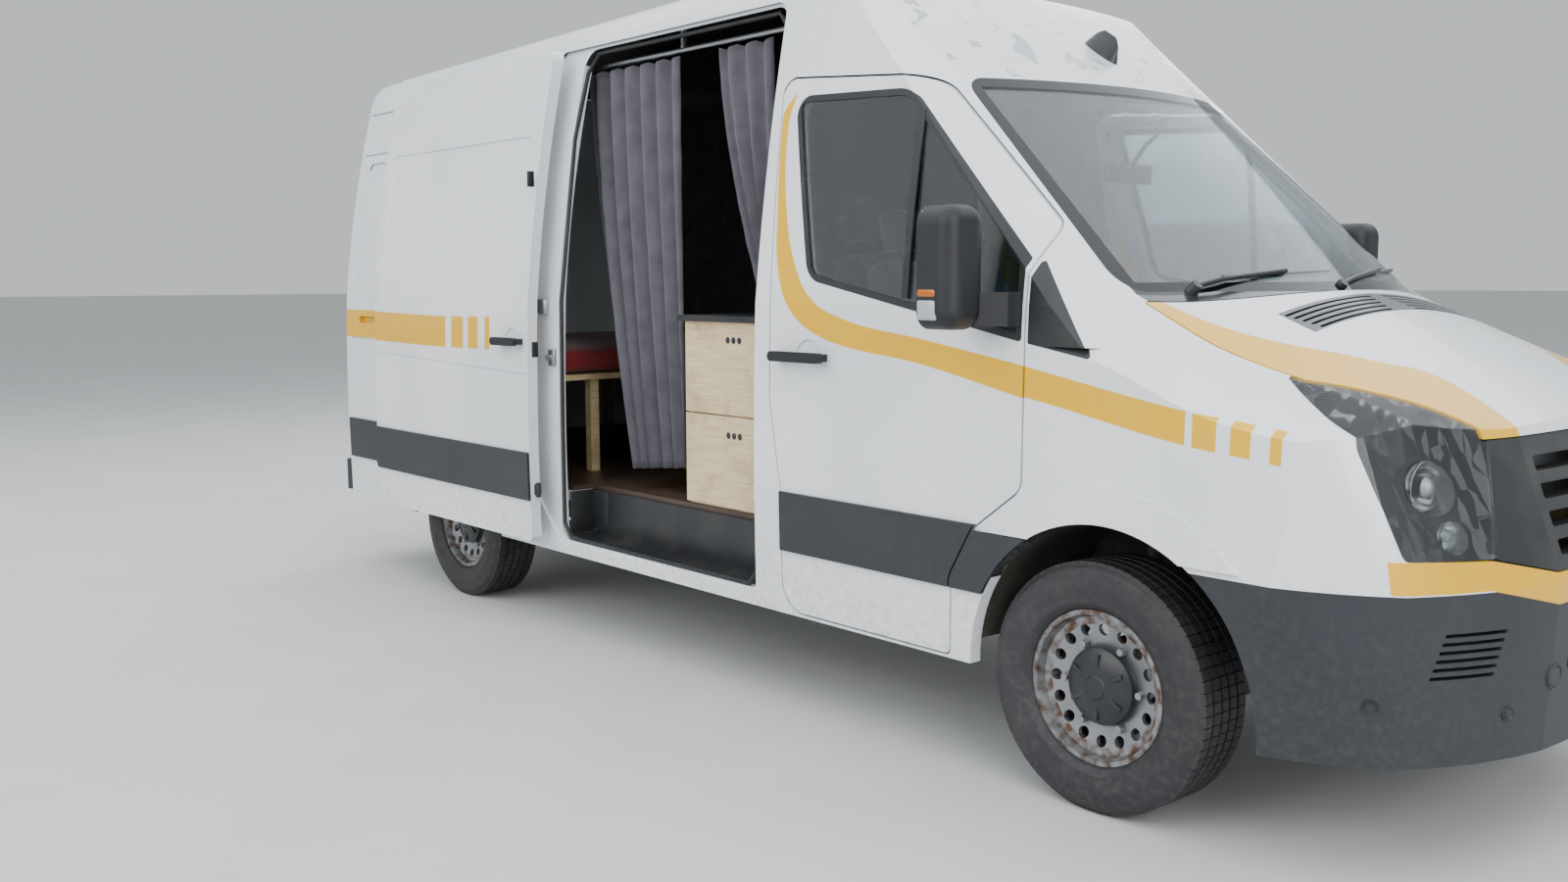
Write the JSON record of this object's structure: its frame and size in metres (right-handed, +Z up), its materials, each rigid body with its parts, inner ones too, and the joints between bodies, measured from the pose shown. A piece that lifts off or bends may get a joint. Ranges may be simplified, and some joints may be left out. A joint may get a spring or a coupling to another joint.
{
  "type": "high-roof camper van with sliding side door",
  "caption": "High-roof panel van fitted out as a camper, with the side door run back, hinged front and rear doors, bonnet, steered front wheels and a kitchen and bed inside",
  "frame": {"origin": "centre of the bounding box on the ground", "axes": "+X forward, +Y to the left of the van, +Z up"},
  "size_m": [5.9048, 2.425, 2.6982],
  "materials": {
    "body_paint": "gloss white paint, lightly weathered",
    "stripe_paint": "gloss yellow paint",
    "trim_plastic": "grained dark grey plastic",
    "glass": "clear tinted glass",
    "lens": "clear lens, slightly hazed",
    "red_lens": "red moulded lens",
    "seal_rubber": "black rubber",
    "tyre": "tyre rubber",
    "wheel_steel": "silver painted pressed steel",
    "chassis_steel": "black painted steel",
    "cast_metal": "cast metal",
    "exhaust_steel": "dull steel",
    "cab_plastic": "grained cab plastic",
    "seat_cloth": "woven seat cloth",
    "plywood": "birch plywood",
    "floor_wood": "floor boards",
    "curtain_cloth": "woven curtain cloth",
    "bed_cloth": "woven bed cloth"
  },
  "bodies": {
    "van_body": {"roof_panel": "body_paint", "side_panel_left": "body_paint", "side_panel_right": "body_paint", "front_wings": "body_paint", "front_bumper": "trim_plastic", "front_apron": "stripe_paint", "grille": "trim_plastic", "headlight_housings": "cab_plastic", "headlight_lenses": "lens", "windscreen": "glass", "side_mouldings": "trim_plastic", "pillar_sails": "trim_plastic", "roof_pod": "trim_plastic", "sliding_door": "body_paint", "sliding_door_trim": "trim_plastic", "wheelhouses": "trim_plastic", "floor_pan": "body_paint", "camper_floor": "floor_wood", "entry_step": "cab_plastic", "firewall": "body_paint", "chassis_rails": "chassis_steel", "engine_block": "cast_metal", "radiator": "cast_metal", "driveline": "cast_metal", "rear_axle": "chassis_steel", "front_crossmember": "chassis_steel", "exhaust": "exhaust_steel", "fuel_tank": "cab_plastic", "spare_wheel": "tyre", "rear_bumper": "trim_plastic", "tail_lamps": "red_lens", "dashboard": "cab_plastic", "steering_wheel": "cab_plastic", "front_seats": "seat_cloth", "kitchen_cabinet": "plywood", "bed_platform": "plywood", "mattress": "bed_cloth", "curtains": "curtain_cloth", "curtain_rail": "exhaust_steel"},
    "bonnet": {"bonnet": "body_paint"},
    "front_door_left_body": {"front_door_left": "body_paint", "door_glass_left": "glass", "door_rubber_left": "seal_rubber", "door_trim_left": "trim_plastic"},
    "rear_door_left_body": {"rear_door_left": "body_paint"},
    "steer_left_body": {"knuckle_left": "cast_metal"},
    "wheel_front_left": {"tyre_front_left": "tyre", "rim_front_left": "wheel_steel"},
    "wheel_rear_left": {"tyre_rear_left": "tyre", "rim_rear_left": "wheel_steel"},
    "front_door_right_body": {"front_door_right": "body_paint", "door_glass_right": "glass", "door_rubber_right": "seal_rubber", "door_trim_right": "trim_plastic"},
    "rear_door_right_body": {"rear_door_right": "body_paint"},
    "steer_right_body": {"knuckle_right": "cast_metal"},
    "wheel_front_right": {"tyre_front_right": "tyre", "rim_front_right": "wheel_steel"},
    "wheel_rear_right": {"tyre_rear_right": "tyre", "rim_rear_right": "wheel_steel"}
  },
  "joints": [
    {"name": "steer_left", "type": "hinge", "parent": "van_body", "child": "steer_left_body", "pos_m": [1.9485, 0.79, 0.356], "axis": [0, 0, 1], "range_deg": [-37, 37]},
    {"name": "wheel_front_left", "type": "hinge", "parent": "steer_left_body", "child": "wheel_front_left", "pos_m": [1.9485, 0.855, 0.356], "axis": [0, 1, 0], "continuous": true},
    {"name": "wheel_rear_left", "type": "hinge", "parent": "van_body", "child": "wheel_rear_left", "pos_m": [-1.7165, 0.855, 0.356], "axis": [0, 1, 0], "continuous": true},
    {"name": "front_door_left", "type": "hinge", "parent": "van_body", "child": "front_door_left_body", "pos_m": [1.7125, 0.995, 1.2], "axis": [0, 0, -1], "range_deg": [0, 70]},
    {"name": "rear_door_left", "type": "hinge", "parent": "van_body", "child": "rear_door_left_body", "pos_m": [-2.8965, 0.871, 1.5], "axis": [0, 0, -1], "range_deg": [0, 180]},
    {"name": "steer_right", "type": "hinge", "parent": "van_body", "child": "steer_right_body", "pos_m": [1.9485, -0.79, 0.356], "axis": [0, 0, 1], "range_deg": [-37, 37]},
    {"name": "wheel_front_right", "type": "hinge", "parent": "steer_right_body", "child": "wheel_front_right", "pos_m": [1.9485, -0.855, 0.356], "axis": [0, 1, 0], "continuous": true},
    {"name": "wheel_rear_right", "type": "hinge", "parent": "van_body", "child": "wheel_rear_right", "pos_m": [-1.7165, -0.855, 0.356], "axis": [0, 1, 0], "continuous": true},
    {"name": "front_door_right", "type": "hinge", "parent": "van_body", "child": "front_door_right_body", "pos_m": [1.7125, -0.995, 1.2], "axis": [0, 0, 1], "range_deg": [0, 70]},
    {"name": "rear_door_right", "type": "hinge", "parent": "van_body", "child": "rear_door_right_body", "pos_m": [-2.8965, -0.871, 1.5], "axis": [0, 0, 1], "range_deg": [0, 180]},
    {"name": "bonnet_hinge", "type": "hinge", "parent": "van_body", "child": "bonnet", "pos_m": [1.9685, 0, 1.45], "axis": [0, -1, 0], "range_deg": [0, 58]}
  ],
  "couplings": [
    {"joint": "steer_right", "follows": "steer_left", "ratio": 1}
  ]
}
